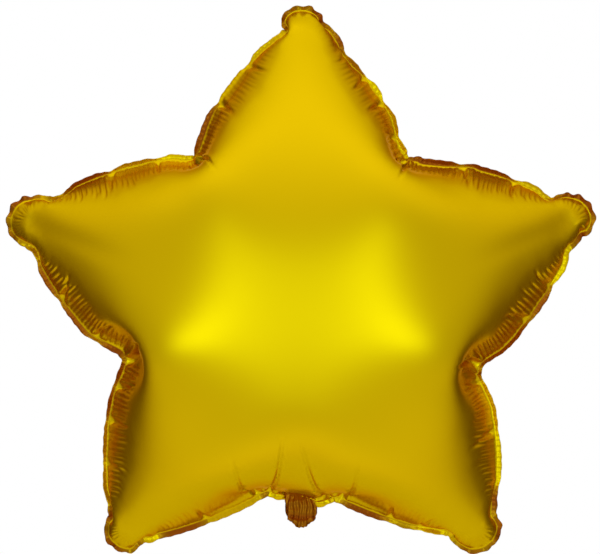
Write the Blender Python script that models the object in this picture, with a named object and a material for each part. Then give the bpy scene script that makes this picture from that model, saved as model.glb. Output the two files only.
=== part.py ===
"""Star foil balloon: one sealed metallic bag with five arms, inflated, with its neck at the bottom.

It stands upright with its front towards -Y. The origin is the point on the neck where it is tied.
"""

import math

import bmesh
import bpy
import numpy as np

# Driving dimensions of the inflated star's seam, in metres and degrees, measured from the star's centre
TOP_REACH = 0.2180
SIDE_REACH = 0.2223
LEG_REACH = 0.2250
SIDE_RISE = 17.1
LEG_DROP = 53.1
UPPER_CORNER_REACH = 0.1260
UPPER_CORNER_ANGLE = 54.0
LOWER_CORNER_REACH = 0.1315
LOWER_CORNER_DROP = 18.4
BOTTOM_REACH = 0.1350
TIP_RADIUS = 0.006
EDGE_BOW = 0.0040

# The swell of the two sheets
HALF_DEPTH = 0.0825
DOME_RADIUS = 0.60
DOME_POWER = 1.47
ARM_SWELL = 3.2
CORNER_SWELL = 11.9
SWELL_BLEND = 1.17
SEAM_WALL = 2.9
TIP_WALL = 1.09
TIP_WALL_SPREAD = 0.93

# The welded flange outside the seam, which just rounds the inner corners without folding over itself
FLANGE_WIDTH = 0.0052
CORNER_SLACK = 0.0018
FLANGE_THICKNESS = 0.0006
FLANGE_RUFFLE = 0.0011
FLANGE_SCALLOP = 0.0005
FLANGE_SWAY = 0.0016
SWAY_WAVES = 23

# The gathers that the seam puckers into, and the deep folds at the inner corners and beside the neck
PLEAT_DEPTH = 0.0011
FOLD_DEPTH = 0.0055
FOLD_WIDTH = 0.0035
FOLD_START = 0.76
FOLD_LEAN = 1.6
NECK_FOLD_STEPS = (-0.003, 0.012)

# The neck
NECK_WIDTH = 0.024
NECK_FLARE = 0.010
NECK_FUNNEL = 0.007
NECK_LENGTH = 0.019
NECK_ROOT = 0.006
NECK_THICKNESS = 0.0062
NECK_RIPPLE = 0.0011
NECK_FLUTES = 5
NECK_PINCH = 0.10
NECK_SQUARENESS = 0.6
NECK_POINT = 0.0035
TIE_DROP = 0.0065

# How finely the shape is divided
EDGE_COLUMNS = 26
NECK_EDGE_COLUMNS = 30
FINE_RINGS = (1.0, 0.987, 0.958, 0.915)
COARSE_RINGS = (0.85, 0.76, 0.63, 0.48, 0.32, 0.16)
NECK_COLUMNS = 20
NECK_ROWS = 6
STEPS_PER_ARC = 12

# The foil
FOIL_COLOUR = (0.78, 0.54, 0.02, 1.0)
FOIL_ROUGHNESS = 0.28
CREASE_ANGLE = 50.0

# Sizes that follow from those above
CORNER_RADIUS = FLANGE_WIDTH + CORNER_SLACK
CENTRE_HEIGHT = BOTTOM_REACH + NECK_FUNNEL + TIE_DROP


def clear_scene():
    for obj in list(bpy.data.objects):
        bpy.data.objects.remove(obj, do_unlink=True)


def foil_material():
    material = bpy.data.materials.new("gold_foil")
    material.use_nodes = True
    shader = material.node_tree.nodes["Principled BSDF"]
    shader.inputs["Base Color"].default_value = FOIL_COLOUR
    shader.inputs["Metallic"].default_value = 1.0
    shader.inputs["Roughness"].default_value = FOIL_ROUGHNESS
    return material


def polar(reach, degrees):
    return np.array([reach * math.cos(math.radians(degrees)), reach * math.sin(math.radians(degrees))])


# The seam's outline in the star's own plane

def half_arc(corner, towards, other, radius):
    """The half of a corner's rounding that lies on the side of `towards`, from its middle outwards."""
    along = (towards - corner) / np.linalg.norm(towards - corner)
    across = (other - corner) / np.linalg.norm(other - corner)
    half_angle = math.acos(np.clip(along @ across, -1.0, 1.0)) / 2
    middle = (along + across) / np.linalg.norm(along + across)
    centre = corner + middle * radius / math.sin(half_angle)
    tangent = corner + along * radius / math.tan(half_angle)
    start, end = -middle, (tangent - centre) / radius
    sweep = math.atan2(start[0] * end[1] - start[1] * end[0], start @ end)
    points = []
    for turn in np.linspace(0.0, sweep, STEPS_PER_ARC):
        cosine, sine = math.cos(turn), math.sin(turn)
        spoke = np.array([start[0] * cosine - start[1] * sine, start[0] * sine + start[1] * cosine])
        points.append(centre + radius * spoke)
    return points


def bowed_edge(start, end):
    """The nearly straight run between two roundings, which bows outwards a little."""
    run = end - start
    outwards = np.array([-run[1], run[0]]) / np.linalg.norm(run)
    if outwards @ (start + end) < 0:
        outwards = -outwards
    share = np.linspace(0.0, 1.0, STEPS_PER_ARC)[1:-1]
    return [start + run * t + outwards * EDGE_BOW * math.sin(math.pi * t) for t in share]


def evenly_spaced(points, count):
    """`count` points along a polyline, its start included and its end left out."""
    points = np.array(points)
    lengths = np.concatenate([[0.0], np.cumsum(np.linalg.norm(np.diff(points, axis=0), axis=1))])
    where = np.linspace(0.0, lengths[-1], count, endpoint=False)
    return np.stack([np.interp(where, lengths, points[:, axis]) for axis in range(2)], axis=1)


def edge_path(tip, last_corner, corner, next_tip):
    """From the middle of a tip's rounding to the middle of the next inner corner's."""
    leaving = half_arc(tip, corner, last_corner, TIP_RADIUS)
    arriving = half_arc(corner, tip, next_tip, CORNER_RADIUS)[::-1]
    return leaving + bowed_edge(leaving[-1], arriving[0]) + arriving


def shoulder_of_neck():
    """Where the seam turns down into the neck, on the right."""
    return np.array([NECK_WIDTH / 2 + NECK_FLARE, -BOTTOM_REACH])


def neck_path(tip, last_corner):
    """From the middle of the right leg's tip to the middle of the neck's root."""
    shoulder = shoulder_of_neck()
    throat = np.array([NECK_WIDTH / 2, -BOTTOM_REACH - NECK_FUNNEL])
    root = np.array([0.0, throat[1]])
    leaving = half_arc(tip, shoulder, last_corner, TIP_RADIUS)
    rounding = half_arc(shoulder, tip, throat, CORNER_RADIUS)[::-1]
    falling = half_arc(shoulder, throat, tip, CORNER_RADIUS)
    return leaving + bowed_edge(leaving[-1], rounding[0]) + rounding + falling[1:] + [throat, root]


def mirrored(path):
    return [point * (-1.0, 1.0) for point in path[::-1]]


def seam_outline():
    """The seam's points, clockwise from the top tip, and how far each lies from its arm's axis: 0 to 1."""
    top = polar(TOP_REACH, 90.0)
    upper = polar(UPPER_CORNER_REACH, UPPER_CORNER_ANGLE)
    side = polar(SIDE_REACH, SIDE_RISE)
    lower = polar(LOWER_CORNER_REACH, -LOWER_CORNER_DROP)
    leg = polar(LEG_REACH, -LEG_DROP)
    upper_left = upper * (-1.0, 1.0)
    right = [
        (edge_path(top, upper_left, upper, side), EDGE_COLUMNS, False),
        (edge_path(side, lower, upper, top)[::-1], EDGE_COLUMNS, True),
        (edge_path(side, upper, lower, leg), EDGE_COLUMNS, False),
        (edge_path(leg, shoulder_of_neck(), lower, side)[::-1], EDGE_COLUMNS, True),
        (neck_path(leg, lower), NECK_EDGE_COLUMNS, False),
    ]
    left = [(mirrored(path), count, not rising) for path, count, rising in right[::-1]]
    points, valleys = [], []
    for path, count, towards_tip in right + left:
        points.append(evenly_spaced(path, count))
        share = np.arange(count) / count
        valleys.append(1.0 - share if towards_tip else share)
    return np.concatenate(points), np.concatenate(valleys)


# The swell, the folds and the gathers

def swell(fraction, reach, valley):
    """Half the balloon's depth at a fraction of the way from the centre to the seam, which is `reach` away.

    A round dome is cut off by a wall that drops to the seam: gently along an arm, steeply at an inner corner.
    """
    dome = 1.0 - (fraction * reach / DOME_RADIUS) ** DOME_POWER
    power = ARM_SWELL + (CORNER_SWELL - ARM_SWELL) * valley**SWELL_BLEND
    wall = SEAM_WALL + (TIP_WALL - SEAM_WALL) * np.exp(-((valley / TIP_WALL_SPREAD) ** 2))
    return HALF_DEPTH * dome * (1.0 - fraction**power) ** wall


def fold_lines():
    """The seam points that the deep folds start from: the four open inner corners, and beside the neck."""
    corners = [
        polar(UPPER_CORNER_REACH, UPPER_CORNER_ANGLE),
        polar(LOWER_CORNER_REACH, -LOWER_CORNER_DROP),
    ]
    beside_neck = [shoulder_of_neck() + (step, 0.0) for step in NECK_FOLD_STEPS]
    right = corners + beside_neck
    return right + [point * (-1.0, 1.0) for point in right]


def fold_strength(seam):
    """How much of a deep fold crosses each seam point, 0 to 1."""
    strength = np.zeros(len(seam))
    for line in fold_lines():
        reach = np.linalg.norm(seam - line, axis=1)
        strength = np.maximum(strength, np.exp(-(((reach - reach.min()) / FOLD_WIDTH) ** 2)))
    return strength


def fold_profile(fraction):
    """A deep fold is nothing at its inner end and at the seam, and deepest close to the seam."""
    share = np.clip((fraction - FOLD_START) / (1.0 - FOLD_START), 0.0, 1.0)
    return np.sin(math.pi * share**FOLD_LEAN)


def ring(seam, valley, fraction, pleat, strength):
    """One ring of the front sheet: x, z and how far it stands out of the seam's plane."""
    gather = PLEAT_DEPTH * pleat * np.clip((fraction - FINE_RINGS[-1]) / (1.0 - FINE_RINGS[-1]), 0.0, 1.0)
    reach = np.linalg.norm(seam, axis=1)
    flat = seam * (fraction - gather * (fraction < 1.0) / reach)[:, None]
    depth = swell(fraction, reach, valley) - FOLD_DEPTH * strength * fold_profile(fraction)
    return flat, np.maximum(depth, FLANGE_THICKNESS / 2)


def outward(seam):
    """The direction away from the star in its plane, square to the seam."""
    run = np.roll(seam, -1, axis=0) - np.roll(seam, 1, axis=0)
    away = np.stack([-run[:, 1], run[:, 0]], axis=1)
    away /= np.linalg.norm(away, axis=1)[:, None]
    return away * np.sign((away * seam).sum(axis=1))[:, None]


# The closed body

def add_ring(mesh, flat, y):
    return [mesh.verts.new((x, depth, z + CENTRE_HEIGHT)) for (x, z), depth in zip(flat, y)]


def join_equal(mesh, outer, inner):
    """The band of the loft between two rings with the same columns."""
    for i in range(len(outer)):
        j = (i + 1) % len(outer)
        mesh.faces.new((outer[i], outer[j], inner[j], inner[i]))


def join_halved(mesh, outer, inner):
    """The band of the loft where two columns of the outer ring meet one of the inner ring."""
    for i in range(len(inner)):
        j = (i + 1) % len(inner)
        before, middle, after = outer[2 * i], outer[2 * i + 1], outer[(2 * i + 2) % len(outer)]
        mesh.faces.new((before, middle, inner[i]))
        mesh.faces.new((middle, inner[j], inner[i]))
        mesh.faces.new((middle, after, inner[j]))


def add_sheet(mesh, seam, valley, sway, pleat, strength, side):
    """One of the two sheets, from its seam ring to the centre. The side is -1 for the front, 1 for the back."""
    rings = []
    for fraction in FINE_RINGS:
        flat, depth = ring(seam, valley, fraction, pleat, strength)
        follow = sway * np.clip((fraction - FINE_RINGS[-1]) / (1.0 - FINE_RINGS[-1]), 0.0, 1.0)
        rings.append(add_ring(mesh, flat, side * depth + follow))
    for outer, inner in zip(rings, rings[1:]):
        join_equal(mesh, outer, inner)
    half = slice(None, None, 2)
    last = rings[-1]
    for number, fraction in enumerate(COARSE_RINGS):
        flat, depth = ring(seam[half], valley[half], fraction, pleat[half], strength[half])
        inner = add_ring(mesh, flat, side * depth)
        if number == 0:
            join_halved(mesh, last, inner)
        else:
            join_equal(mesh, last, inner)
        last = inner
    centre = mesh.verts.new((0.0, side * HALF_DEPTH, CENTRE_HEIGHT))
    for i in range(len(last)):
        mesh.faces.new((last[i], last[(i + 1) % len(last)], centre))
    return rings[0]


def add_flange(mesh, seam, front_seam, back_seam, sway, pleat):
    away = outward(seam)
    rim = seam + away * (FLANGE_WIDTH + FLANGE_SCALLOP * pleat)[:, None]
    middle = sway + FLANGE_RUFFLE * pleat
    front = add_ring(mesh, rim, middle - FLANGE_THICKNESS / 2)
    back = add_ring(mesh, rim, middle + FLANGE_THICKNESS / 2)
    join_equal(mesh, front, front_seam)
    join_equal(mesh, back, front)
    join_equal(mesh, back_seam, back)


def envelope(collection):
    """Both sheets and their flange as one closed body."""
    seam, valley = seam_outline()
    number = np.arange(len(seam))
    pleat = np.where(number % 2 == 0, 1.0, -1.0)
    from_neck = np.linalg.norm(seam - (0.0, -BOTTOM_REACH), axis=1)
    clear_of_neck = np.clip(from_neck / NECK_WIDTH - 1.0, 0.0, 1.0)
    sway = FLANGE_SWAY * np.sin(2 * math.pi * SWAY_WAVES * number / len(seam)) * clear_of_neck
    strength = fold_strength(seam)
    mesh = bmesh.new()
    front_seam = add_sheet(mesh, seam, valley, sway, pleat, strength, -1)
    back_seam = add_sheet(mesh, seam, valley, sway, pleat, strength, 1)
    add_flange(mesh, seam, front_seam, back_seam, sway, pleat * clear_of_neck)
    bmesh.ops.recalc_face_normals(mesh, faces=mesh.faces)
    return finished("foil_balloon", mesh, collection)


# The neck

def neck_section(row):
    """Half the width, the height of the middle, and how far the sides lie above it at one row of the neck."""
    share = row / NECK_ROWS
    top = CENTRE_HEIGHT - BOTTOM_REACH - NECK_FUNNEL + NECK_ROOT
    length = NECK_ROOT + NECK_LENGTH
    pinch = 1.0 - NECK_PINCH * math.sin(math.pi * share)
    return NECK_WIDTH / 2 * pinch, top - length * share, NECK_POINT * share


def neck(collection):
    """The short flat tail, bunched into flutes, as a closed body that starts inside the envelope."""
    mesh = bmesh.new()
    loops = []
    for row in range(NECK_ROWS + 1):
        half_width, middle_z, lift = neck_section(row)
        loop = []
        for step in range(NECK_COLUMNS):
            turn = 2 * math.pi * step / NECK_COLUMNS
            across = math.cos(turn)
            squared = math.copysign(abs(math.sin(turn)) ** NECK_SQUARENESS, math.sin(turn))
            flute = NECK_RIPPLE * math.cos(math.pi * NECK_FLUTES * across)
            point = (half_width * across, squared * (NECK_THICKNESS / 2 + flute), middle_z + lift * abs(across))
            loop.append(mesh.verts.new(point))
        loops.append(loop)
    for upper, lower in zip(loops, loops[1:]):
        join_equal(mesh, upper, lower)
    mesh.faces.new(loops[0])
    mesh.faces.new(loops[-1])
    bmesh.ops.triangulate(mesh, faces=[face for face in mesh.faces if len(face.verts) > 4])
    bmesh.ops.recalc_face_normals(mesh, faces=mesh.faces)
    body = finished("neck_former", mesh, collection)
    body.hide_render = True
    body.display_type = "WIRE"
    return body


def finished(name, mesh, collection):
    data = bpy.data.meshes.new(name)
    mesh.to_mesh(data)
    mesh.free()
    body = bpy.data.objects.new(name, data)
    collection.objects.link(body)
    data.shade_smooth()
    data.set_sharp_from_angle(angle=math.radians(CREASE_ANGLE))
    return body


def join_to(body, addition):
    union = body.modifiers.new("neck", "BOOLEAN")
    union.operation = "UNION"
    union.object = addition


def build():
    clear_scene()
    parts = bpy.data.collections.new("star_foil_balloon")
    formers = bpy.data.collections.new("formers")
    bpy.context.scene.collection.children.link(parts)
    bpy.context.scene.collection.children.link(formers)
    balloon = envelope(parts)
    join_to(balloon, neck(formers))
    balloon.data.materials.append(foil_material())


build()
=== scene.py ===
# %% [markdown]
# Star foil balloon, the dressed model.
# A foil balloon is two flat sheets of metallised film, cut to one outline and welded along a narrow
# margin. Gas lifts the middle and shortens the seam, so the film next to the seam gathers into hundreds
# of small pleats and the margin curls to and fro. This script cuts the sheets flat, inflates them as
# cloth, adds the pleats and the margin's crumples, and lights the result in a plain pale studio.
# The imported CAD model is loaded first, because every piece sits where that model says.

# %% Load the frame
import math
import random
import bmesh
import bpy
import numpy as np
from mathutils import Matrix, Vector, kdtree, noise
from mathutils.geometry import delaunay_2d_cdt


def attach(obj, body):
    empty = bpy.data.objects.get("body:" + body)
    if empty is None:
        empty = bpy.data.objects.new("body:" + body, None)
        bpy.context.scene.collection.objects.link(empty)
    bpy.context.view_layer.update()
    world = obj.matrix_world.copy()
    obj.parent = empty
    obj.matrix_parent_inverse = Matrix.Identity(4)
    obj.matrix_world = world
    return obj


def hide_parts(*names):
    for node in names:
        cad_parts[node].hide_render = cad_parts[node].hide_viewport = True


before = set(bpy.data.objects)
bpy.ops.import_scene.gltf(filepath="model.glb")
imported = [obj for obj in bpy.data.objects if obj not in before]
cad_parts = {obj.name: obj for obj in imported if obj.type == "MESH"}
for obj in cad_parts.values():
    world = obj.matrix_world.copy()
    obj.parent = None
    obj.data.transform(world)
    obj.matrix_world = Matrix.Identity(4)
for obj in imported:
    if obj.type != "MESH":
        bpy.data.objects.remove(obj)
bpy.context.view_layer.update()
scene = bpy.context.scene
scene.view_settings.view_transform = "Standard"

# %% [markdown]
# Helpers for meshes.
# A new mesh comes from code where the points have to lie in an exact net, and everything after that is
# done with Blender's own operators on the active object, so a helper makes one object active alone.

# %% Choose one object
def choose(*pieces):
    """Selects these objects alone, the first of them active."""
    bpy.ops.object.select_all(action="DESELECT")
    for piece in pieces:
        piece.select_set(True)
    bpy.context.view_layer.objects.active = pieces[0]


def new_piece(name, points, faces):
    """A new mesh object at the origin, from points in metres and faces as tuples."""
    mesh = bpy.data.meshes.new(name)
    mesh.from_pydata([tuple(point) for point in points], [], faces)
    mesh.validate()
    mesh.update()
    piece = bpy.data.objects.new(name, mesh)
    scene.collection.objects.link(piece)
    choose(piece)
    return piece


def points_of(mesh):
    """The mesh's points as an array with three columns."""
    flat = np.empty(len(mesh.vertices) * 3, np.float32)
    mesh.vertices.foreach_get("co", flat)
    return flat.reshape(-1, 3).astype(float)


def set_points(mesh, points):
    """Moves the mesh's points to these places."""
    mesh.vertices.foreach_set("co", np.asarray(points, np.float32).ravel())
    mesh.update()

# %% [markdown]
# The flat cut.
# On the real balloon both sheets are die-cut together. The cut star is larger and sharper than the
# inflated one: 465 mm wide over the seam, it blows up to about 420 mm. The five points are distances
# from the middle of the star, the side points a little longer than the top and the two legs, and the
# corners between them lie well out, because film between two points is pulled in as the points fill.
# At the bottom the cut runs into the filling neck between two small shoulders.

# %% Outline of the cut, in metres
CENTRE_HEIGHT = 0.1485
TOP_POINT = 0.2432
SIDE_POINT = 0.2485
LEG_POINT = 0.2478
SIDE_RISE = 17.6
LEG_DROP = 52.8
UPPER_CORNER, UPPER_CORNER_RISE = 0.1970, 54.5
LOWER_CORNER, LOWER_CORNER_DROP = 0.2010, 18.0
SHOULDER_HALF_WIDTH = 0.0260
SHOULDER_DROP = 0.1915
NECK_HALF_WIDTH = 0.0125
NECK_DROP = 0.1975
NECK_RADIUS = 0.0180
POINT_RADIUS = 0.0270
CORNER_RADIUS = 0.0040
EDGE_BOW = 0.0016
BOW_SHARES = (0.22, 0.36, 0.5, 0.64, 0.78)
BOW_RADIUS = 0.02
ARC_STEP = 0.0005
LONG_EDGE = 0.05
SEAM_STEP = 0.0036
CORNER_CROWDING = 1.6
CORNER_CROWD_REACH = 0.009


def around(reach, degrees):
    """A point of the flat cut, from its distance to the middle and its angle above the right side."""
    turn = math.radians(degrees)
    return np.array([reach * math.cos(turn), reach * math.sin(turn)])


right_half = [
    (around(UPPER_CORNER, UPPER_CORNER_RISE), CORNER_RADIUS),
    (around(SIDE_POINT, SIDE_RISE), POINT_RADIUS),
    (around(LOWER_CORNER, -LOWER_CORNER_DROP), CORNER_RADIUS),
    (around(LEG_POINT, -LEG_DROP), POINT_RADIUS),
    (np.array([SHOULDER_HALF_WIDTH, -SHOULDER_DROP]), CORNER_RADIUS),
    (np.array([NECK_HALF_WIDTH, -NECK_DROP]), NECK_RADIUS),
]
mirrored = [(point * (-1, 1), radius) for point, radius in reversed(right_half)]
cut_corners = [(around(TOP_POINT, 90), POINT_RADIUS), *right_half, *mirrored]


def bowed(corners):
    """The corners with a few points more between them, so that each long edge bows outwards a little."""
    points = []
    for i, (corner, radius) in enumerate(corners):
        after = corners[(i + 1) % len(corners)][0]
        points.append((corner, radius))
        edge = after - corner
        length = np.linalg.norm(edge)
        if length < LONG_EDGE:
            continue
        out = np.array([-edge[1], edge[0]]) / length
        if out @ (corner + after) < 0:
            out = -out
        points += [(corner + edge * share + out * EDGE_BOW * 4 * share * (1 - share), BOW_RADIUS)
                   for share in BOW_SHARES]
    return points


def rounded_outline(corners):
    """The closed outline through these corners, each rounded to its radius, as closely spaced points."""
    outline = []
    for i, (corner, radius) in enumerate(corners):
        before, after = corners[i - 1][0], corners[(i + 1) % len(corners)][0]
        to_before = (before - corner) / np.linalg.norm(before - corner)
        to_after = (after - corner) / np.linalg.norm(after - corner)
        between = math.acos(np.clip(to_before @ to_after, -1, 1))
        start = corner + to_before * radius / math.tan(between / 2)
        end = corner + to_after * radius / math.tan(between / 2)
        halfway = (to_before + to_after) / np.linalg.norm(to_before + to_after)
        middle = corner + halfway * radius / math.sin(between / 2)
        first = math.atan2(*(start - middle)[::-1])
        turn = (math.atan2(*(end - middle)[::-1]) - first + math.pi) % (2 * math.pi) - math.pi
        for share in np.linspace(0, 1, max(3, int(abs(turn) * radius / ARC_STEP))):
            angle = first + turn * share
            outline.append(middle + radius * np.array([math.cos(angle), math.sin(angle)]))
    return np.array(outline)


def evenly(outline, count):
    """The closed outline again, with this many points at equal distances along it."""
    closed = np.vstack([outline, outline[:1]])
    along = np.concatenate([[0], np.cumsum(np.linalg.norm(np.diff(closed, axis=0), axis=1))])
    places = np.linspace(0, along[-1], count, endpoint=False)
    return np.stack([np.interp(places, along, closed[:, k]) for k in range(2)], 1), along[-1]


cut_outline = rounded_outline(bowed(cut_corners))
cut_area = 0.5 * np.sum(cut_outline[:, 0] * np.roll(cut_outline[:, 1], -1)
                        - cut_outline[:, 1] * np.roll(cut_outline[:, 0], -1))
if cut_area < 0:
    cut_outline = cut_outline[::-1]
DENSE_STEP = 0.0004
_, seam_length = evenly(cut_outline, 100)
dense, _ = evenly(cut_outline, round(seam_length / DENSE_STEP))
inner_corners = [around(UPPER_CORNER, UPPER_CORNER_RISE), around(LOWER_CORNER, -LOWER_CORNER_DROP),
                 np.array([SHOULDER_HALF_WIDTH, -SHOULDER_DROP])]
inner_corners += [point * (-1, 1) for point in inner_corners]
to_corner = np.min([np.linalg.norm(dense - point, axis=1) for point in inner_corners], axis=0)
crowding = 1 + CORNER_CROWDING * np.exp(-(to_corner / CORNER_CROWD_REACH) ** 2)
counted = np.concatenate([[0], np.cumsum(crowding)]) * seam_length / len(dense) / SEAM_STEP
seam_count = round(counted[-1])
dense_numbers = np.arange(len(dense) + 1)
column_places = np.interp(np.arange(seam_count) * counted[-1] / seam_count, counted, dense_numbers)
closed_dense = np.vstack([dense, dense[:1]])
seam = np.stack([np.interp(column_places, dense_numbers, closed_dense[:, k]) for k in range(2)], 1)
print("seam, mm:", round(1000 * seam_length), "in", seam_count, "columns; cut width, mm:",
      round(1000 * np.ptp(seam[:, 0]), 1))

# %% [markdown]
# The net of the sheet.
# The film has to gather across the seam and stay smooth in the middle, so the net has two parts. Along
# the seam it is a band of rows that follow the outline, which later takes one pleat for every few
# columns. Inside the band it is an even net of triangles, which has no direction of its own and so
# doesn't leave stripes in a mirror-like finish. An operator can't make that net, so it is built in code.

# %% Rows along the seam and triangles inside
BAND_SHARES = (0.07, 0.16, 0.27, 0.41, 0.58, 0.78, 1.0)
EDGE_BAND = 0.050
POINT_BAND = 0.0150
POINT_CLEAR_FROM, POINT_CLEAR_TO = 0.020, 0.088
INNER_STEP = 0.0082
INNER_CLEARANCE = 0.7 * INNER_STEP
MERGE_WITHIN = 1e-7


def smooth_step(values, low, high):
    """From 0 at low to 1 at high, level at both ends."""
    share = np.clip((values - low) / (high - low), 0, 1)
    return share * share * (3 - 2 * share)


def outward(loop):
    """Unit vectors that point out of a closed anticlockwise loop, one for each point."""
    along = np.roll(loop, -1, 0) - np.roll(loop, 1, 0)
    out = np.stack([along[:, 1], -along[:, 0]], 1)
    return out / np.linalg.norm(out, axis=1)[:, None]


def even_net(loop, step, margin):
    """Points of a triangular net inside the loop, no closer to it than the margin."""
    reach = np.abs(loop).max() + step
    heights = np.arange(-reach, reach, step * math.sqrt(3) / 2)
    net = np.array([(x + (row % 2) * step / 2, y) for row, y in enumerate(heights)
                    for x in np.arange(-reach, reach, step)])
    tree = kdtree.KDTree(len(loop))
    for i, point in enumerate(loop):
        tree.insert((*point, 0), i)
    tree.balance()
    out = outward(loop)
    kept = []
    for point in net:
        _, nearest, distance = tree.find((*point, 0))
        if distance > margin and (point - loop[nearest]) @ out[nearest] < 0:
            kept.append(point)
    return np.array(kept)


out_of_seam = outward(seam)
star_points = [around(TOP_POINT, 90), around(SIDE_POINT, SIDE_RISE), around(LEG_POINT, -LEG_DROP),
               around(SIDE_POINT, 180 - SIDE_RISE), around(LEG_POINT, 180 + LEG_DROP)]
narrow_places = [*star_points, np.array([0, -NECK_DROP])]
to_narrow = np.min([np.linalg.norm(seam - point, axis=1) for point in narrow_places], axis=0)
at_edge = smooth_step(to_narrow, POINT_CLEAR_FROM, POINT_CLEAR_TO)
band_depth = POINT_BAND + (EDGE_BAND - POINT_BAND) * at_edge
rings = [seam] + [seam - out_of_seam * (share * band_depth)[:, None] for share in BAND_SHARES]
inner_points = even_net(rings[-1], INNER_STEP, INNER_CLEARANCE)
chain = [(i, (i + 1) % seam_count) for i in range(seam_count)]
net_points, _, net_faces, *_ = delaunay_2d_cdt(
    [Vector(point) for point in np.vstack([rings[-1], inner_points])], chain, [], 1, MERGE_WITHIN)
net_points = np.array([list(point) for point in net_points])


def turns_left(face):
    """Whether the triangle's corners run anticlockwise."""
    a, b, c = (net_points[i] for i in face)
    return (b[0] - a[0]) * (c[1] - a[1]) > (b[1] - a[1]) * (c[0] - a[0])


net_faces = [tuple(face) if turns_left(face) else tuple(face)[::-1] for face in net_faces]
in_use = np.unique(np.concatenate([np.arange(seam_count), np.array(net_faces).ravel()]))
new_number = {int(old): new for new, old in enumerate(in_use)}
net_points = net_points[in_use]
net_faces = [tuple(new_number[i] for i in face) for face in net_faces]
print("inner net:", len(net_points), "points,", len(net_faces), "triangles")

# %% [markdown]
# Inflating the film.
# The two sheets share the seam, and the weld margin outside it is one sheet more. Blender's Cloth gives
# them the pressure of the gas. Film can't stretch, but next to the seam it gathers into pleats far finer
# than this net, so the net is let to shorten there almost freely and is pleated afterwards. The margin
# has no gas in it, and it does resist shortening, so it buckles to and fro as the real one does.

# %% Sheets for the simulation
MARGIN_ROWS = (0.0028, 0.0056)
SHEET_GAP = 0.0005


def sheet_faces(ring_starts, net_start):
    """Quads between neighbouring rings and the net's triangles, in the front sheet's order."""
    faces = []
    for outer, inner in zip(ring_starts, ring_starts[1:]):
        faces += [(outer + i, outer + j, inner + j, inner + i) for i, j in chain]
    return faces + [tuple(net_start + i for i in face) for face in net_faces]


def lifted(points, height):
    """Points of the flat cut as points of the model, with a height towards the front."""
    return np.stack([points[:, 0], np.full(len(points), -height), points[:, 1] + CENTRE_HEIGHT], 1)


def sheet_rows(height):
    """A sheet's band rows and its net, without the seam. The net starts with the last row's points."""
    return [lifted(ring, height) for ring in rings[1:-1]] + [lifted(net_points, height)]


def starts_of(blocks, first):
    """Where each block of points starts in the list of all points."""
    return [first + sum(len(block) for block in blocks[:k]) for k in range(len(blocks))]


front_blocks = sheet_rows(SHEET_GAP)
back_blocks = sheet_rows(-SHEET_GAP)
margin_blocks = [lifted(seam + out_of_seam * width, 0) for width in MARGIN_ROWS]
front_starts = starts_of(front_blocks, seam_count)
back_starts = starts_of(back_blocks, front_starts[-1] + len(net_points))
margin_starts = starts_of(margin_blocks, back_starts[-1] + len(net_points))
film_points = np.vstack([lifted(seam, 0), *front_blocks, *back_blocks, *margin_blocks])
front_faces = sheet_faces([0, *front_starts], front_starts[-1])
back_faces = [face[::-1] for face in sheet_faces([0, *back_starts], back_starts[-1])]
margin_steps = ((margin_starts[0], 0), (margin_starts[1], margin_starts[0]))
margin_faces = [(outer + i, outer + j, inner + j, inner + i)
                for outer, inner in margin_steps for i, j in chain]
film = new_piece("film", film_points, front_faces + back_faces + margin_faces)
print("film:", len(film_points), "points,", len(film.data.polygons), "faces")

# %% Blow it up
FILM_STIFFNESS = 60
GATHERING_STIFFNESS = 3
GAS_PRESSURE = 8
CREASE_STIFFNESS = 1.0
INFLATE_FRAMES = 40


def group(piece, name, indices):
    """A vertex group of these points at full weight."""
    members = piece.vertex_groups.new(name=name)
    members.add([int(i) for i in indices], 1.0, "REPLACE")


def inflate(piece, frames):
    """Runs the Cloth with pressure and leaves the piece in its inflated shape."""
    cloth = piece.modifiers.new("inflate", "CLOTH")
    settings = cloth.settings
    settings.quality = 6
    settings.mass = 0.05
    settings.tension_stiffness = settings.tension_stiffness_max = FILM_STIFFNESS
    settings.compression_stiffness = GATHERING_STIFFNESS
    settings.compression_stiffness_max = FILM_STIFFNESS
    settings.vertex_group_structural_stiffness = "margin"
    settings.shear_stiffness = 10
    settings.bending_model = "ANGULAR"
    settings.bending_stiffness = CREASE_STIFFNESS
    settings.tension_damping = settings.compression_damping = settings.shear_damping = 5
    settings.bending_damping = 0.5
    settings.air_damping = 5
    settings.use_pressure = True
    settings.uniform_pressure_force = GAS_PRESSURE
    settings.vertex_group_pressure = "gas"
    settings.effector_weights.gravity = 0
    cloth.collision_settings.use_collision = False
    cloth.point_cache.frame_end = frames
    scene.frame_start, scene.frame_end = 1, frames
    for frame_number in range(1, frames + 1):
        scene.frame_set(frame_number)
    choose(piece)
    bpy.ops.object.modifier_apply(modifier=cloth.name)
    scene.frame_set(1)


group(film, "gas", range(margin_starts[0]))
group(film, "margin", range(margin_starts[0], len(film_points)))
inflate(film, INFLATE_FRAMES)

# %% [markdown]
# Calming the middle.
# Film this tight has no slack waves away from its seam, but the net keeps a few, because its triangles
# are far larger than the real pleats. A Smooth modifier irons them out, by a weight that grows from the
# seam inwards.

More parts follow.
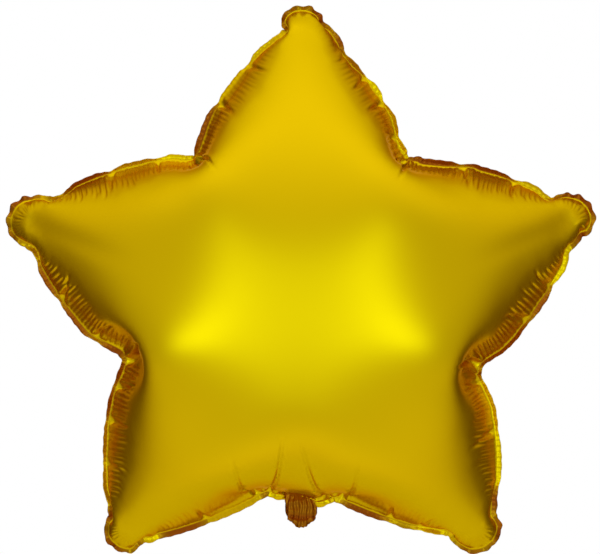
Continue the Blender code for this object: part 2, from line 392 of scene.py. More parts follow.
# %% Iron the sheets
CALM_FROM, CALM_FULL = 0.003, 0.030
CALM_PASSES = 12
seam_tree = kdtree.KDTree(seam_count)
for i, point in enumerate(seam):
    seam_tree.insert((*point, 0), i)
seam_tree.balance()
sheet_depths = np.array([seam_tree.find((*point, 0))[2] for point in np.vstack([*rings[1:-1], net_points])])
calm = film.vertex_groups.new(name="calm")
for start in (front_starts[0], back_starts[0]):
    for i, weight in enumerate(smooth_step(sheet_depths, CALM_FROM, CALM_FULL)):
        calm.add([start + i], float(weight), "REPLACE")
iron = film.modifiers.new("iron", "SMOOTH")
iron.vertex_group = calm.name
iron.iterations = CALM_PASSES
choose(film)
bpy.ops.object.modifier_apply(modifier=iron.name)
blown = points_of(film.data)

# %% [markdown]
# The slant of the wall.
# Above the seam the simulated film stands straight up, and at the corners it even leans out over the
# seam, because a net this coarse can't take up the film that the pleats do. On the real one the pleated
# wall leans inwards and shows from the front, so each point that stands too steep is pushed in. The
# wall hardly shows on the top arm and along the lower edges, so it leans less there.

# %% Lean the wall inwards
WALL_LEAN = 0.27
STEEP_SHARE = 0.65
TOP_ARM_FROM, TOP_ARM_TO = 0.09, 0.15
LOW_EDGE_FROM, LOW_EDGE_TO = 0.10, 0.17
WALL_SOFTNESS = 0.005
WALL_REACH = 0.095
WALL_FADE_FROM = 0.6 * WALL_REACH
SEAM_HOLD = 0.004
SEAM_RELEASE = 0.006
SETTLE_PASSES = 4
UNPUSHED_FROM, UNPUSHED_TO = 0.030, 0.100
blown_seam = blown[:seam_count]
to_star_point = np.min([np.linalg.norm(seam - point, axis=1) for point in star_points], axis=0)
off_points = smooth_step(to_star_point, UNPUSHED_FROM, UNPUSHED_TO)
seam_in = -outward(np.stack([blown_seam[:, 0], blown_seam[:, 2]], 1))
steep = smooth_step(seam[:, 1], TOP_ARM_FROM, TOP_ARM_TO)
steep += smooth_step(-seam[:, 1], LOW_EDGE_FROM, LOW_EDGE_TO)
lean_here = WALL_LEAN * (1 - STEEP_SHARE * steep)
sheet_flat = np.vstack([*rings[1:-1], net_points])
nearest_column = np.array([seam_tree.find((*point, 0))[1] for point in sheet_flat])
for start in (front_starts[0], back_starts[0]):
    members = np.arange(start, start + len(sheet_flat))
    offset = (blown[members] - blown_seam[nearest_column])[:, [0, 2]]
    inwards = seam_in[nearest_column]
    inset = np.sum(offset * inwards, axis=1)
    lacking = (lean_here[nearest_column] * np.abs(blown[members, 1]) - inset) / WALL_SOFTNESS
    held = math.log(2) * np.exp(-(sheet_depths / SEAM_HOLD) ** 2)
    push = WALL_SOFTNESS * (np.logaddexp(0, lacking) - held)
    push *= 1 - smooth_step(sheet_depths, WALL_FADE_FROM, WALL_REACH)
    push *= smooth_step(sheet_depths, 0, SEAM_RELEASE)
    push *= off_points[nearest_column]
    blown[members, 0] += push * inwards[:, 0]
    blown[members, 2] += push * inwards[:, 1]
    print("wall pushed in by at most, mm:", round(1000 * push.max(), 1))
set_points(film.data, blown)
settle = film.modifiers.new("settle", "SMOOTH")
settle.vertex_group = calm.name
settle.iterations = SETTLE_PASSES
choose(film)
bpy.ops.object.modifier_apply(modifier=settle.name)
blown = points_of(film.data)
sides = np.ptp(blown, axis=0)
print("inflated, mm:", [round(1000 * side, 1) for side in sides])

# %% [markdown]
# Two skins.
# The margin of the simulated film is one sheet, but the real one is two sheets welded together. The
# final film is one closed skin: the front sheet runs out to the cut edge, turns round it, and comes back
# as the rear sheet. Each point keeps its place in the flat cut, its depth inside the seam and its side,
# because the pleats that follow are laid out on the flat film.

# %% Front and rear skin
WELD_THICKNESS = 0.0004
MARGIN_FLATNESS = 0.72
DEEP_INSIDE = 99
seam_blown = blown[:seam_count]
seam_out = np.stack([-seam_in[:, 0], np.zeros(seam_count), -seam_in[:, 1]], 1)
margin_blown = [blown[start:start + seam_count] * (1 - MARGIN_FLATNESS)
                + (seam_blown + seam_out * width) * MARGIN_FLATNESS
                for start, width in zip(margin_starts, MARGIN_ROWS)]
along_seam = np.roll(margin_blown[0], -1, 0) - np.roll(margin_blown[0], 1, 0)
across_margin = margin_blown[-1] - seam_blown
margin_normals = np.cross(across_margin, along_seam)
margin_normals /= np.linalg.norm(margin_normals, axis=1)[:, None]
if margin_normals[:, 1].mean() > 0:
    margin_normals = -margin_normals


def skin(starts, side):
    """One skin's points from the cut edge inwards, with their flat places and depths."""
    shift = side * margin_normals * WELD_THICKNESS / 2
    net_rows = [blown[start:start + (seam_count if k < len(starts) - 1 else len(net_points))]
                for k, start in enumerate(starts)]
    rows = [margin_blown[1] + shift, margin_blown[0] + shift, seam_blown + shift, *net_rows]
    flat_rows = [seam + out_of_seam * MARGIN_ROWS[1], seam + out_of_seam * MARGIN_ROWS[0], seam,
                 *rings[1:-1], net_points]
    return rows, flat_rows


front_rows, flat_rows = skin(front_starts, 1)
back_rows, _ = skin(back_starts, -1)
row_starts = starts_of(front_rows, 0)
skin_count = sum(len(row) for row in front_rows)
skin_front = sheet_faces(row_starts, row_starts[-1])
skin_back = [tuple(skin_count + i for i in face[::-1]) for face in skin_front]
rim = [(i, skin_count + i, skin_count + j, j) for i, j in chain]
foil = new_piece("foil", np.vstack([*front_rows, *back_rows]), skin_front + skin_back + rim)
bpy.data.objects.remove(film)

depths = np.concatenate([np.repeat([-MARGIN_ROWS[1], -MARGIN_ROWS[0], 0], seam_count), sheet_depths])
band_rows = np.repeat(np.arange(-2, len(BAND_SHARES) + 1), seam_count)
rows = np.concatenate([band_rows, np.full(len(net_points) - seam_count, DEEP_INSIDE)])


def give(piece, name, values, kind="FLOAT"):
    """Stores one value, or one vector, for each point of the piece."""
    attribute = piece.data.attributes.new(name, kind, "POINT")
    slot = "vector" if kind == "FLOAT_VECTOR" else "value"
    attribute.data.foreach_set(slot, np.asarray(values, np.float32).ravel())


def taken(piece, name, width=1):
    """Reads such values back, one row for each point where the width is 3."""
    attribute = piece.data.attributes[name]
    values = np.empty(len(attribute.data) * width, np.float32)
    attribute.data.foreach_get("vector" if width == 3 else "value", values)
    return values.reshape(-1, width).astype(float) if width == 3 else values.astype(float)


flat_places = np.vstack(flat_rows)
flat_places = np.hstack([flat_places, np.zeros((len(flat_places), 1))])
give(foil, "flat", np.vstack([flat_places, flat_places]), "FLOAT_VECTOR")
give(foil, "depth", np.concatenate([depths, depths]))
give(foil, "row", np.concatenate([rows, rows]))
give(foil, "side", np.concatenate([np.ones(skin_count), -np.ones(skin_count)]))
bm = bmesh.new()
bm.from_mesh(foil.data)
print("open or odd edges:", sum(1 for edge in bm.edges if len(edge.link_faces) != 2),
      "volume, l:", round(1000 * bm.calc_volume(signed=True), 2))
bm.free()

# %% Finer columns for the pleats
choose(foil)
smoother = foil.modifiers.new("smoother", "SUBSURF")
smoother.levels = smoother.render_levels = 1
bpy.ops.object.modifier_apply(modifier=smoother.name)
row_of_point = taken(foil, "row")
SAME_ROW = 1e-3
bpy.ops.object.mode_set(mode="EDIT")
bpy.ops.mesh.select_all(action="DESELECT")
bpy.ops.mesh.select_mode(type="EDGE")
edit = bmesh.from_edit_mesh(foil.data)
edit.verts.ensure_lookup_table()
for edge in edit.edges:
    first, second = (row_of_point[vertex.index] for vertex in edge.verts)
    edge.select_set(bool(abs(first - second) < SAME_ROW and first < len(BAND_SHARES) + SAME_ROW))
bmesh.update_edit_mesh(foil.data)
bpy.ops.mesh.subdivide(number_cuts=1, smoothness=0.0)
bpy.ops.object.mode_set(mode="OBJECT")
print("foil after the finer columns:", len(foil.data.vertices), "points")

# %% [markdown]
# Where the long creases run.
# Every few centimetres one pleat grows into a crease that runs further in, and the deepest ones start at
# the corners between the points and beside the neck, where the most film has to be gathered. They are
# listed before the pleats, because the net is divided further along the deepest of them.

# %% Long creases
dense_tree = kdtree.KDTree(len(dense))
for i, point in enumerate(dense):
    dense_tree.insert((*point, 0), i)
dense_tree.balance()
CREASE_SPACING = 0.030
CREASE_SPREAD = 0.35
CREASE_WIDTH = 0.0016
CREASE_DEPTH = 0.0022
CREASE_LENGTHS = (0.045, 0.062)
CREASE_LEAN = 0.22
CREASE_SHOULDER = 0.30
CORNER_CREASE_DEPTH = 0.0042
CORNER_CREASE_LENGTH = 0.086
NECK_CREASE_LENGTHS = (0.092, 0.112, 0.106, 0.084)
NECK_CREASES = (-0.0330, -0.0245, 0.0215, 0.0310)
NECK_CREASE_DEPTH = 0.0022
NECK_CREASE_LEAN = 0.10
CORNER_CREASE_LEAN = 0.15
CREASE_SHARES = (0.5, 1.1)
LEAST_GAP = 0.4 * CREASE_SPACING
TANGENT_REACH = 16
FRONT_SEED, REAR_SEED = 5, 6


def ticks(pitch, spread, seed):
    """Places along the seam, from 0 to its length, at an irregular pitch."""
    dice = random.Random(seed)
    places = [0.0]
    while places[-1] < seam_length:
        places.append(places[-1] + pitch * (1 + spread * dice.uniform(-1, 1)))
    return np.array(places) * seam_length / places[-1]


def seam_place(point):
    """Where along the seam this point of the flat cut lies."""
    return dense_tree.find((*point, 0))[1] * seam_length / len(dense)


def crease_list(seed):
    """Place, depth, length and lean of every long crease of one sheet."""
    dice = random.Random(seed)
    corners = [around(UPPER_CORNER, UPPER_CORNER_RISE), around(LOWER_CORNER, -LOWER_CORNER_DROP)]
    corners += [point * (-1, 1) for point in corners]
    creases = [(seam_place(point), CORNER_CREASE_DEPTH, CORNER_CREASE_LENGTH,
                CORNER_CREASE_LEAN * dice.uniform(-1, 1)) for point in corners]
    for x, length in zip(NECK_CREASES, NECK_CREASE_LENGTHS):
        place = seam_place(np.array([x, -SHOULDER_DROP]))
        creases.append((place, NECK_CREASE_DEPTH, length, -NECK_CREASE_LEAN * math.copysign(1, x)))
    held = [crease[0] for crease in creases]
    for place in ticks(CREASE_SPACING, CREASE_SPREAD, seed)[:-1]:
        if min(abs(place - other) for other in held) > LEAST_GAP:
            column = np.interp(place / seam_length * len(dense), column_places, np.arange(seam_count))
            reach = (band_depth[int(column)] / EDGE_BAND) ** 1.5
            creases.append((place, CREASE_DEPTH * reach * dice.uniform(*CREASE_SHARES),
                            dice.uniform(*CREASE_LENGTHS) * reach, CREASE_LEAN * dice.uniform(-1, 1)))
    return creases


def crease_line(place, lean):
    """A crease's start on the flat film, and its direction inwards."""
    index = int(place / seam_length * len(dense)) % len(dense)
    out = outward(dense[[index - TANGENT_REACH, index, (index + TANGENT_REACH) % len(dense)]])[1]
    turn = math.cos(lean), math.sin(lean)
    return dense[index], -np.array([out[0] * turn[0] - out[1] * turn[1], out[0] * turn[1] + out[1] * turn[0]])


creases_of = {1: crease_list(FRONT_SEED), -1: crease_list(REAR_SEED)}
print("creases in front and behind:", [len(creases) for creases in creases_of.values()])

# %% Divide the net along the deepest creases
CREASE_CLEARANCE = 0.0050
CREASE_OVERRUN = 0.002
DEEP_CREASES = 4 + len(NECK_CREASES)
flat = taken(foil, "flat", 3)[:, :2]
side = taken(foil, "side")
row_of_point = taken(foil, "row")
along_crease = np.zeros(len(flat), bool)
for which, creases in creases_of.items():
    for place, deep, length, lean in creases[:DEEP_CREASES]:
        start, inwards = crease_line(place, lean)
        offset = flat - start
        aside = np.abs(offset @ np.array([-inwards[1], inwards[0]]))
        run = offset @ inwards
        beside = (aside < CREASE_CLEARANCE) & (run > 0) & (run < length + CREASE_OVERRUN)
        along_crease |= (side * which > 0) & beside
along_crease &= row_of_point > len(BAND_SHARES) - 0.2
bpy.ops.object.mode_set(mode="EDIT")
bpy.ops.mesh.select_all(action="DESELECT")
edit = bmesh.from_edit_mesh(foil.data)
for edge in edit.edges:
    edge.select_set(all(along_crease[vertex.index] for vertex in edge.verts))
bmesh.update_edit_mesh(foil.data)
bpy.ops.mesh.subdivide(number_cuts=2, smoothness=0.0)
bpy.ops.mesh.select_all(action="SELECT")
bpy.ops.mesh.quads_convert_to_tris()
bpy.ops.object.mode_set(mode="OBJECT")
print("foil divided along the creases:", len(foil.data.vertices), "points,",
      len(foil.data.polygons), "triangles")

# %% [markdown]
# Pleats.
# Where the inflated seam is shorter than the flat one, the film next to it gathers. The pleats stand
# square to the seam, a few millimetres apart and four to five centimetres long, and shorter towards the
# points. They are valleys pressed into the simulated film, each with a length and depth of its own.

# %% Where each point of the skin lies on the flat film, read again after the division
flat = taken(foil, "flat", 3)[:, :2]
depth = taken(foil, "depth")
side = taken(foil, "side")
PLEATED_DEPTH = 0.100
near = np.flatnonzero(depth < PLEATED_DEPTH)
along = np.zeros(len(flat))
along[near] = [dense_tree.find((*flat[i], 0))[1] * seam_length / len(dense) for i in near]


def normals_of(piece):
    """The piece's unit normals, one row for each point."""
    values = np.empty(len(piece.data.vertices) * 3, np.float32)
    piece.data.vertices.foreach_get("normal", values)
    return values.reshape(-1, 3).astype(float)


def on_seam(values):
    """Values given once for each seam column, read at every point's place along the seam."""
    column = np.interp(along / seam_length * len(dense), column_places, np.arange(seam_count))
    low = np.floor(column).astype(int) % seam_count
    share = (column - np.floor(column)).reshape((-1,) + (1,) * (values.ndim - 1))
    return values[low] * (1 - share) + values[(low + 1) % seam_count] * share


print("points near the seam:", len(near))

# %% Fine pleats
PLEAT_PITCH = 0.0037
PLEAT_PITCH_SPREAD = 0.30
PLEAT_VALLEY = 0.0010
PLEAT_DEPTH = 0.0019
PLEAT_LENGTHS = (0.040, 0.052)
PLEAT_RISE = 0.0025
CALM_PLEATS = 0.35
SIDEWAYS = (0.050, 0.120)
POINT_CALM = 0.8
POINT_CALM_REACH = (0.030, 0.060)
PLEAT_STRENGTHS = (0.55, 1.0)
SHALLOW_AT_SEAM = 0.45
PLEAT_FADE = (0.70, 1.0)
FRONT_PLEATS, REAR_PLEATS = 11, 12


def gathered(along, depth, across, band, seed):
    """Depth of the fine pleats' valleys at these places."""
    places = ticks(PLEAT_PITCH, PLEAT_PITCH_SPREAD, seed)
    dice = np.random.default_rng(seed)
    lengths = dice.uniform(*PLEAT_LENGTHS, len(places))
    strengths = dice.uniform(*PLEAT_STRENGTHS, len(places))
    after = np.clip(np.searchsorted(places, along), 1, len(places) - 1)
    nearest = np.where(along - places[after - 1] < places[after] - along, after - 1, after)
    aside = along - places[nearest]
    share = depth / (lengths[nearest] * band)
    valley = np.exp(-(aside / (PLEAT_VALLEY * np.clip(1.35 - 0.8 * share, 0.4, 1.35))) ** 2)
    fade = smooth_step(depth, 0, PLEAT_RISE)
    fade *= SHALLOW_AT_SEAM + (1 - SHALLOW_AT_SEAM) * smooth_step(share, 0.1, 0.6)
    fade *= CALM_PLEATS + (1 - CALM_PLEATS) * smooth_step(np.abs(across), *SIDEWAYS)
    return PLEAT_DEPTH * strengths[nearest] * valley * fade * (1 - smooth_step(share, *PLEAT_FADE))


band_share = on_seam(band_depth) / EDGE_BAND
to_point = np.min([np.linalg.norm(flat - point, axis=1) for point in star_points], axis=0)
point_calm = 1 - POINT_CALM * (1 - smooth_step(to_point, *POINT_CALM_REACH))
valleys = np.zeros(len(flat))
for which, seed in ((1, FRONT_PLEATS), (-1, REAR_PLEATS)):
    on = near[side[near] * which > 0]
    valleys[on] = point_calm[on] * gathered(along[on], depth[on], flat[on, 0], band_share[on], seed)
print("pleated points:", int((valleys > 1e-5).sum()))

# %% Press the long creases in
def creased(members, creases):
    """Depth of the long creases at these points of the skin."""
    total = np.zeros(len(members))
    for place, deep, length, lean in creases:
        start, inwards = crease_line(place, lean)
        offset = flat[members] - start
        run = offset @ inwards
        aside = offset @ np.array([-inwards[1], inwards[0]])
        width = CREASE_WIDTH * np.clip(1.3 - 0.7 * run / length, 0.6, 1.3)
        valley = np.exp(-(aside / width) ** 2)
        shoulder = CREASE_SHOULDER * np.exp(-((np.abs(aside) - 2.3 * width) / width) ** 2)
        fade = smooth_step(depth[members], 0, PLEAT_RISE) * (1 - smooth_step(run, 0.45 * length, length))
        total += deep * (valley - shoulder) * fade * (run > -0.002)
    return total


for which, creases in creases_of.items():
    on = near[side[near] * which > 0]
    valleys[on] += creased(on, creases)
print("deepest crease, mm:", round(1000 * valleys.max(), 2))

# %% [markdown]
# Soft folds in the side arms.
# A side arm is narrow, and the film along its middle is drawn towards the point, so one wide and very
# shallow fold runs inwards from each side point and falls a little on its way.

# %% Press the soft folds in
ARM_FOLD_DEPTH = 0.0010
ARM_FOLD_WIDTH = 0.0080
ARM_FOLD_START, ARM_FOLD_END = 0.014, 0.135
ARM_FOLD_FALL = 21.0


def arm_fold(towards):
    """Depth of the fold in the right arm (1) or in the left one (-1), at every point."""
    offset = flat * (towards, 1) - around(SIDE_POINT, SIDE_RISE)
    inwards = -around(1, ARM_FOLD_FALL)
    run = offset @ inwards
    aside = offset @ np.array([-inwards[1], inwards[0]])
    fade = smooth_step(run, ARM_FOLD_START, 2.5 * ARM_FOLD_START)
    fade *= 1 - smooth_step(run, 0.5 * ARM_FOLD_END, ARM_FOLD_END)
    return ARM_FOLD_DEPTH * fade * np.exp(-(aside / ARM_FOLD_WIDTH) ** 2)


valleys += arm_fold(1) + arm_fold(-1)
print("soft folds, mm:", round(1000 * arm_fold(1).max(), 2))

# %% [markdown]
# The margin's crumples.
# The weld margin is as long as the flat seam but has to follow the shorter inflated one, so besides the
# wide waves of the simulation it is crimped at the pitch of the pleats, and at the five points, where it
# turns most, it stands up in small lobes. Each long crease pinches it, and between two pinches it lifts
# to one side. Its colour there is painted shade and painted reflection: dark amber that stands in for the
# film mirroring itself in the crumples, more or less from wave to wave, most at the points and less at
# each pinch.

# %% Crimps and lobes
CRIMP_HEIGHT = 0.00020
CRIMP_PITCH = 0.0037
LOBE_HEIGHT = 0.0016
LOBE_PITCH = 0.0085
LOBE_REACH = 0.034
SCALLOP = 0.0006
PINCH_REACH = 0.0060
PINCH_DEPTH = 0.0017
WAVE_SWELL = 0.0003
WAVE_LIFT = 0.0012
MARGIN_WIDTH = MARGIN_ROWS[-1]
ROOT_REACH = 0.0025
LOW_SIDE_SHARE = 0.45
LOW_SIDE_FROM, LOW_SIDE_TO = -0.02, 0.03
# Painted shade on the margin: how much dark amber each wave gets, how much at the points, and how much less
# at a pinch.
PAINTED_SHADE_FROM, PAINTED_SHADE_TO = 0.25, 0.65
POINT_PAINTED_SHADE = 0.85
PINCH_LESS_SHADE = 0.3
WELD_LINE = 0.001
CRIMP_SEED, LOBE_SEED, SCALLOP_SEED, WAVE_SEED = 21, 22, 23, 31
at_point = 1 - smooth_step(to_point, 0.5 * LOBE_REACH, LOBE_REACH)


def wander(pitch, seed):
    """A wave along the seam whose pitch and height change from one wave to the next."""
    places = ticks(pitch / 2, 0.35, seed)
    dice = np.random.default_rng(seed)
    heights = dice.uniform(0.5, 1.0, len(places)) * np.where(np.arange(len(places)) % 2, 1, -1)
    heights[-1] = heights[0]
    share = np.clip(np.searchsorted(places, along, side="right") - 1, 0, len(places) - 2)
    part = smooth_step((along - places[share]) / (places[share + 1] - places[share]), 0, 1)
    return heights[share] * (1 - part) + heights[share + 1] * part


def pinched(places):
    """1 where a long crease crosses the margin and 0 half way to the next, and each wave's own number."""
    places = np.sort(places)
    after = np.searchsorted(places, along) % len(places)
    gap_after = (places[after] - along) % seam_length
    gap_before = (along - places[after - 1]) % seam_length
    return np.exp(-(np.minimum(gap_after, gap_before) / PINCH_REACH) ** 2), after


pinch, wave = pinched(np.array([crease[0] for crease in creases_of[1]]))
wave_dice = np.random.default_rng(WAVE_SEED).random((2, len(creases_of[1])))
wave_side = np.where(wave_dice[0] < 0.5, 1, -1)[wave]
upper_side = LOW_SIDE_SHARE + (1 - LOW_SIDE_SHARE) * smooth_step(flat[:, 1], LOW_SIDE_FROM, LOW_SIDE_TO)
wave_painted_shade = smooth_step(wave_dice[1], PAINTED_SHADE_FROM, PAINTED_SHADE_TO)[wave]
outer = np.clip(-depth / MARGIN_WIDTH, 0, 1)
rooted = 1 - smooth_step(depth, 0, ROOT_REACH)
margin_up = on_seam(margin_normals)
margin_up /= np.maximum(np.linalg.norm(margin_up, axis=1), 1e-9)[:, None]
margin_out = on_seam(across_margin / np.linalg.norm(across_margin, axis=1)[:, None])
lift = rooted * (CRIMP_HEIGHT * (0.4 + 0.6 * outer) * wander(CRIMP_PITCH, CRIMP_SEED)
                 + LOBE_HEIGHT * outer * at_point * wander(LOBE_PITCH, LOBE_SEED))
lift += rooted * WAVE_LIFT * outer * outer * (1 - pinch) * wave_side * (1 - at_point)
draw_in = outer * SCALLOP * (wander(LOBE_PITCH, SCALLOP_SEED) - 1) * (0.4 + 0.9 * at_point)
draw_in += outer * (WAVE_SWELL * (1 - pinch) - PINCH_DEPTH * pinch) * point_calm * upper_side
moved = points_of(foil.data) - normals_of(foil) * valleys[:, None]
moved[near] += (margin_up * lift[:, None] + margin_out * draw_in[:, None])[near]
set_points(foil.data, moved)
# Painted shade and painted reflection: the margin outside the seam is given dark amber, standing in for the
# film mirroring itself in its crumples.
margin_painted_shade = smooth_step(-depth, 0, WELD_LINE) * np.maximum(wave_painted_shade, POINT_PAINTED_SHADE * at_point)
give(foil, "painted_shade", margin_painted_shade * (1 - PINCH_LESS_SHADE * pinch))
print("margin lift, mm:", round(1000 * np.abs(lift).max(), 2))

# %% [markdown]
# The neck.
# Below the shoulders the two sheets run on as a flat filling tube. After filling it is pressed flat and
# crumples into a stub that narrows below a pinched line. It starts as a cylinder that is divided and
# flattened, thinnest at the top, where it is tucked between the sheets. Its skin is then pushed in and
# out by folds that run down it and by facets with sharp ridges between them, as in any crushed film.

# %% Crumpled stub
NECK_TOP = CENTRE_HEIGHT - 0.1325
NECK_BOTTOM = -0.0108
NECK_THICK = 0.0050
NECK_FACET = 0.0080
NECK_CRUSH = 0.0012
NECK_TAPER_FROM = -0.0050
NECK_TAPER = 0.62
NECK_LIP = 0.0016
NECK_FOLDS = 6.5
NECK_FOLD_DEPTH = 0.0012
NECK_CINCH = -0.0048
NECK_CINCH_REACH = 0.0017
NECK_CINCH_DEPTH = 0.0011
NECK_SIDES, NECK_RINGS, NECK_CAP_RINGS = 96, 35, 7
NECK_CAP_STEP = 0.0013
bpy.ops.object.select_all(action="DESELECT")
bpy.ops.mesh.primitive_cylinder_add(vertices=NECK_SIDES, radius=NECK_HALF_WIDTH * 0.95,
                                    depth=NECK_TOP - NECK_BOTTOM, end_fill_type="NGON",
                                    location=(0, 0, (NECK_TOP + NECK_BOTTOM) / 2))
neck = bpy.context.active_object
neck.name = neck.data.name = "neck"
bpy.ops.object.transform_apply(location=True, rotation=True, scale=True)
bpy.ops.object.mode_set(mode="EDIT")
bpy.ops.mesh.select_mode(type="EDGE")
bpy.ops.mesh.select_all(action="DESELECT")
edit = bmesh.from_edit_mesh(neck.data)
for edge in edit.edges:
    edge.select_set(abs(edge.verts[0].co.z - edge.verts[1].co.z) > 0.001)
bmesh.update_edit_mesh(neck.data)
bpy.ops.mesh.subdivide(number_cuts=NECK_RINGS)
bpy.ops.mesh.select_mode(type="FACE")
bpy.ops.mesh.select_all(action="DESELECT")
edit = bmesh.from_edit_mesh(neck.data)
for face in edit.faces:
    face.select_set(len(face.verts) > 8)
bmesh.update_edit_mesh(neck.data)
for _ in range(NECK_CAP_RINGS):
    bpy.ops.mesh.inset(thickness=NECK_CAP_STEP, use_even_offset=True)
bpy.ops.mesh.poke()
bpy.ops.object.mode_set(mode="OBJECT")

# %% Crush it
stub = points_of(neck.data)
down = (NECK_TOP - stub[:, 2]) / (NECK_TOP - NECK_BOTTOM)
stub[:, 1] *= NECK_THICK / (2 * NECK_HALF_WIDTH) * (0.20 + 0.95 * smooth_step(down, 0.0, 0.45))
stub[:, 0] *= 1.04 - 0.14 * smooth_step(down, 0.1, 0.55)
stub[:, 0] *= 1 - NECK_TAPER * smooth_step(-stub[:, 2], -NECK_TAPER_FROM, -NECK_BOTTOM)
set_points(neck.data, stub)
sideways = stub[:, 0] / NECK_HALF_WIDTH


def facets(point, size, shift):
    """From 0 on the ridges between facets to about 1 in their middles."""
    place = Vector(point) / size + Vector((shift, 0, 0))
    nearest = noise.voronoi(place)[0]
    return min(nearest[1] - nearest[0], 1.0)


def folded(point):
    """Folds that run down the neck and wander a little, from 0 in the valleys to 1 on the ridges."""
    sway = noise.noise(Vector(point) * 160) + 1.6 * point[2] / NECK_HALF_WIDTH * point[0] / NECK_HALF_WIDTH
    share = (point[0] / NECK_HALF_WIDTH * NECK_FOLDS / 2 + 0.35 * sway + math.copysign(0.25, point[1])) % 1
    return 1 - abs(2 * share - 1)


crush = np.array([NECK_CRUSH * (facets(point, NECK_FACET, 3.1) - 0.45)
                  + NECK_FOLD_DEPTH * (0.5 - folded(point)) for point in stub])
cinch = np.exp(-((stub[:, 2] - NECK_CINCH) / NECK_CINCH_REACH) ** 2)
crush += NECK_CINCH_DEPTH * cinch
stub -= normals_of(neck) * (crush * smooth_step(down, 0.05, 0.35))[:, None]
lip = smooth_step(down, 0.55, 1.0)
stub[:, 2] += lip * NECK_LIP * (0.9 * np.abs(sideways) - 0.6 * np.exp(-(sideways / 0.35) ** 2)
                                - 0.5 * np.exp(-((np.abs(sideways) - 0.8) / 0.2) ** 2))
set_points(neck.data, stub)
choose(neck)
bpy.ops.object.mode_set(mode="EDIT")
bpy.ops.mesh.select_all(action="SELECT")
bpy.ops.mesh.normals_make_consistent(inside=False)
bpy.ops.object.mode_set(mode="OBJECT")
# Painted shade and painted reflection: the neck is almost all dark amber, darkest at the pinched line,
# standing in for the crushed film mirroring itself in its folds.
give(neck, "painted_shade", 0.90 + 0.10 * cinch)
print("neck:", len(neck.data.vertices), "points, lowest, mm:", round(1000 * stub[:, 2].min(), 1))

# %% [markdown]
# The finish.
# The film is plastic with a thin coat of metal under a yellow lacquer, so it is a metal with a gold tint.
# It isn't a clear mirror: lamps show in it as soft glows, because the surface is slightly rough. At the
# margin and the neck the base colour turns towards a dark amber, which the mesh keeps as an attribute:
# painted shade and painted reflection, standing in for the film mirroring itself in its crumples.

# %% Shader maths as Python expressions
class Wire:
    """A node's output that takes part in arithmetic. An expression adds its Math nodes."""

    def __init__(self, tree, socket):
        self.tree = tree
        self.socket = socket

    def maths(self, operation, *values):
        return add_node(self.tree, "ShaderNodeMath", {"operation": operation}, dict(enumerate(values)))

    def __add__(self, other):
        return self.maths("ADD", self, other)

    __radd__ = __add__

    def __rsub__(self, other):
        return self.maths("SUBTRACT", other, self)

    def __mul__(self, other):
        return self.maths("MULTIPLY", self, other)

    __rmul__ = __mul__

    def kept_between(self, low, high):
        """The value from 0 to 1 as it goes from low to high, and no further."""
        ends = {0: self, 1: low, 2: high, 3: 0.0, 4: 1.0}
        return add_node(self.tree, "ShaderNodeMapRange", {"clamp": True}, ends)


def add_node(tree, kind, settings=None, inputs=None, output=0):
    """Adds a node: its settings first, then the values or wires of its sockets. Returns one output."""
    node = tree.nodes.new(kind)
    for name, value in (settings or {}).items():
        setattr(node, name, value)
    for name, value in (inputs or {}).items():
        if isinstance(value, Wire):
            tree.links.new(value.socket, node.inputs[name])
        else:
            node.inputs[name].default_value = value
    return Wire(tree, node.outputs[output])


def new_material(name):
    """An empty node material and its tree."""
    material = bpy.data.materials.new(name)
    material.use_nodes = True
    material.node_tree.nodes.clear()
    return material, material.node_tree


def finish_with(tree, shader):
    """Sends this shader to the material's output."""
    output = tree.nodes.new("ShaderNodeOutputMaterial")
    tree.links.new(shader.socket, output.inputs["Surface"])

# %% Gold film
GOLD = (0.79, 0.525, 0.001, 1)
# The dark amber below is painted shade, not a colour of the film.
PAINTED_SHADE_AMBER = (0.30, 0.070, 0.004, 1)
GOLD_EDGE = (0.85, 0.46, 0.05, 1)
gold_film, tree = new_material("gold_film")
place = add_node(tree, "ShaderNodeTexCoord", output="Object")
cloudy = add_node(tree, "ShaderNodeTexNoise", {}, {"Vector": place, "Scale": 14.0, "Detail": 3.0})
rough = 0.31 + 0.05 * cloudy
# Painted shade: the base colour goes from gold to dark amber by the painted shade attribute of the margin and
# the neck.
painted_shade_share = add_node(tree, "ShaderNodeAttribute", {"attribute_name": "painted_shade"}, {}, "Fac")
gold_and_painted_shade = add_node(tree, "ShaderNodeMix", {"data_type": "RGBA"}, {0: painted_shade_share, 6: GOLD, 7: PAINTED_SHADE_AMBER}, 2)
film_shader = add_node(tree, "ShaderNodeBsdfPrincipled", {}, {
    "Base Color": gold_and_painted_shade, "Metallic": 1.0, "Roughness": rough, "Specular Tint": GOLD_EDGE})
finish_with(tree, film_shader)
for piece in (foil, neck):
    piece.data.materials.append(gold_film)
    choose(piece)
    bpy.ops.object.shade_smooth()
    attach(piece, "root")
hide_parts("foil_balloon")
print("gold film on:", [piece.name for piece in (foil, neck)])

# %% [markdown]
# The studio.
# A balloon like this mirrors the whole room, so the light is mostly a matter of what stands around it: a
# soft box on each side of the camera gives the two glows, a bright ceiling lights the top arm, a pale
# floor lights the lower edge, and darker, warmer walls at the sides and behind give the shaded walls.
# The world is white where the camera, a reflection or glass looks past the balloon to the backdrop.

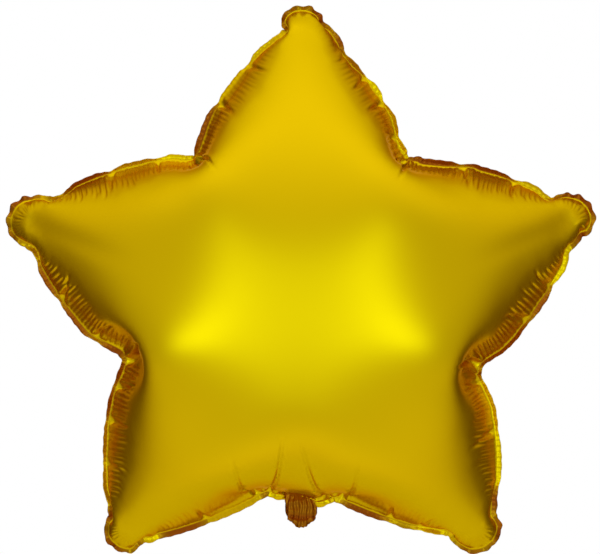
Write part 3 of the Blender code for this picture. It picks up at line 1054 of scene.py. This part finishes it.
# %% Camera
PHOTO_WIDTH, PHOTO_HEIGHT = 600, 554
MM_PER_PIXEL = 0.717
STAR_MIDDLE = (301.5, 303.5)
CAMERA_DISTANCE = 2.2
camera = bpy.data.objects.new("camera", bpy.data.cameras.new("camera"))
scene.collection.objects.link(camera)
scene.camera = camera
camera.data.sensor_width = 36
camera.data.lens = 36 * CAMERA_DISTANCE / (PHOTO_WIDTH * MM_PER_PIXEL / 1000)
camera.location = ((PHOTO_WIDTH / 2 - STAR_MIDDLE[0]) * MM_PER_PIXEL / 1000, -CAMERA_DISTANCE,
                   CENTRE_HEIGHT + (STAR_MIDDLE[1] - PHOTO_HEIGHT / 2) * MM_PER_PIXEL / 1000)
camera.rotation_euler = (math.pi / 2, 0, 0)
print("camera height, mm:", round(1000 * camera.location.z, 1), "lens, mm:", round(camera.data.lens))

# %% World and lamps
WHITE = (1, 1, 1, 1)
WARM_ROOM = (1.0, 0.69, 0.38, 1)
LAMP_COLOUR = (0.68, 1.0, 0.90)
LAMP_ASIDE, LAMP_FORWARD, LAMP_HEIGHT = 0.44, 1.88, 0.03
LAMP_SIZE, LAMP_POWER = 0.46, 2.3
world = bpy.data.worlds.new("studio")
scene.world = world
world.use_nodes = True
air = world.node_tree
air.nodes.clear()
direction = add_node(air, "ShaderNodeTexCoord", output="Generated")
split = add_node(air, "ShaderNodeSeparateXYZ", {}, {0: direction})
_, to_back, to_top = (Wire(air, split.socket.node.outputs[k]) for k in range(3))
rays = add_node(air, "ShaderNodeLightPath")
seen = Wire(air, rays.socket.node.outputs["Is Camera Ray"])
mirrored_ray = Wire(air, rays.socket.node.outputs["Is Glossy Ray"])
through_ray = Wire(air, rays.socket.node.outputs["Is Transmission Ray"])
backdrop = to_back.kept_between(0.84, 0.95)
front = (-1 * to_back).kept_between(-0.30, 0.60)
ceiling = to_top.kept_between(0.10, 0.90)
pale_floor = (-1 * to_top).kept_between(0.30, 0.90)
front_level = 0.14 + 0.38 * front + 0.68 * ceiling + (0.08 + 0.38 * front) * pale_floor
show_white = seen.maths("MAXIMUM", seen, (mirrored_ray + through_ray) * backdrop)
level = show_white + (1 - show_white) * front_level
warmth = (1 - front) * (1 - ceiling) * (1 - show_white)
room = add_node(air, "ShaderNodeMix", {"data_type": "RGBA"}, {0: warmth, 6: WHITE, 7: WARM_ROOM}, 2)
background = add_node(air, "ShaderNodeBackground", {}, {"Color": room, "Strength": level})
world_output = air.nodes.new("ShaderNodeOutputWorld")
air.links.new(background.socket, world_output.inputs["Surface"])


def soft_box(name, place):
    """A square area lamp that points at the balloon."""
    lamp = bpy.data.lights.new(name, "AREA")
    lamp.size = LAMP_SIZE
    lamp.energy = LAMP_POWER
    lamp.color = LAMP_COLOUR
    box = bpy.data.objects.new(name, lamp)
    box.location = place
    box.rotation_euler = (Vector((0, 0, CENTRE_HEIGHT)) - Vector(place)).to_track_quat("-Z", "Y").to_euler()
    scene.collection.objects.link(box)


soft_box("left_box", (-LAMP_ASIDE, -LAMP_FORWARD, LAMP_HEIGHT))
soft_box("right_box", (LAMP_ASIDE, -LAMP_FORWARD, LAMP_HEIGHT))

# %% Floor
FLOOR_HEIGHT = -0.75
PALE_GREY = (0.86, 0.86, 0.86, 1)
bpy.ops.object.select_all(action="DESELECT")
bpy.ops.mesh.primitive_plane_add(size=2.0, location=(0, 0.65, FLOOR_HEIGHT))
floor = bpy.context.active_object
floor.name = "floor"
floor_paint, tree = new_material("floor_paint")
floor_shader = add_node(tree, "ShaderNodeBsdfPrincipled", {}, {"Base Color": PALE_GREY, "Roughness": 0.9})
finish_with(tree, floor_shader)
floor.data.materials.append(floor_paint)
print("floor, mm below the model's zero:", round(-1000 * FLOOR_HEIGHT))
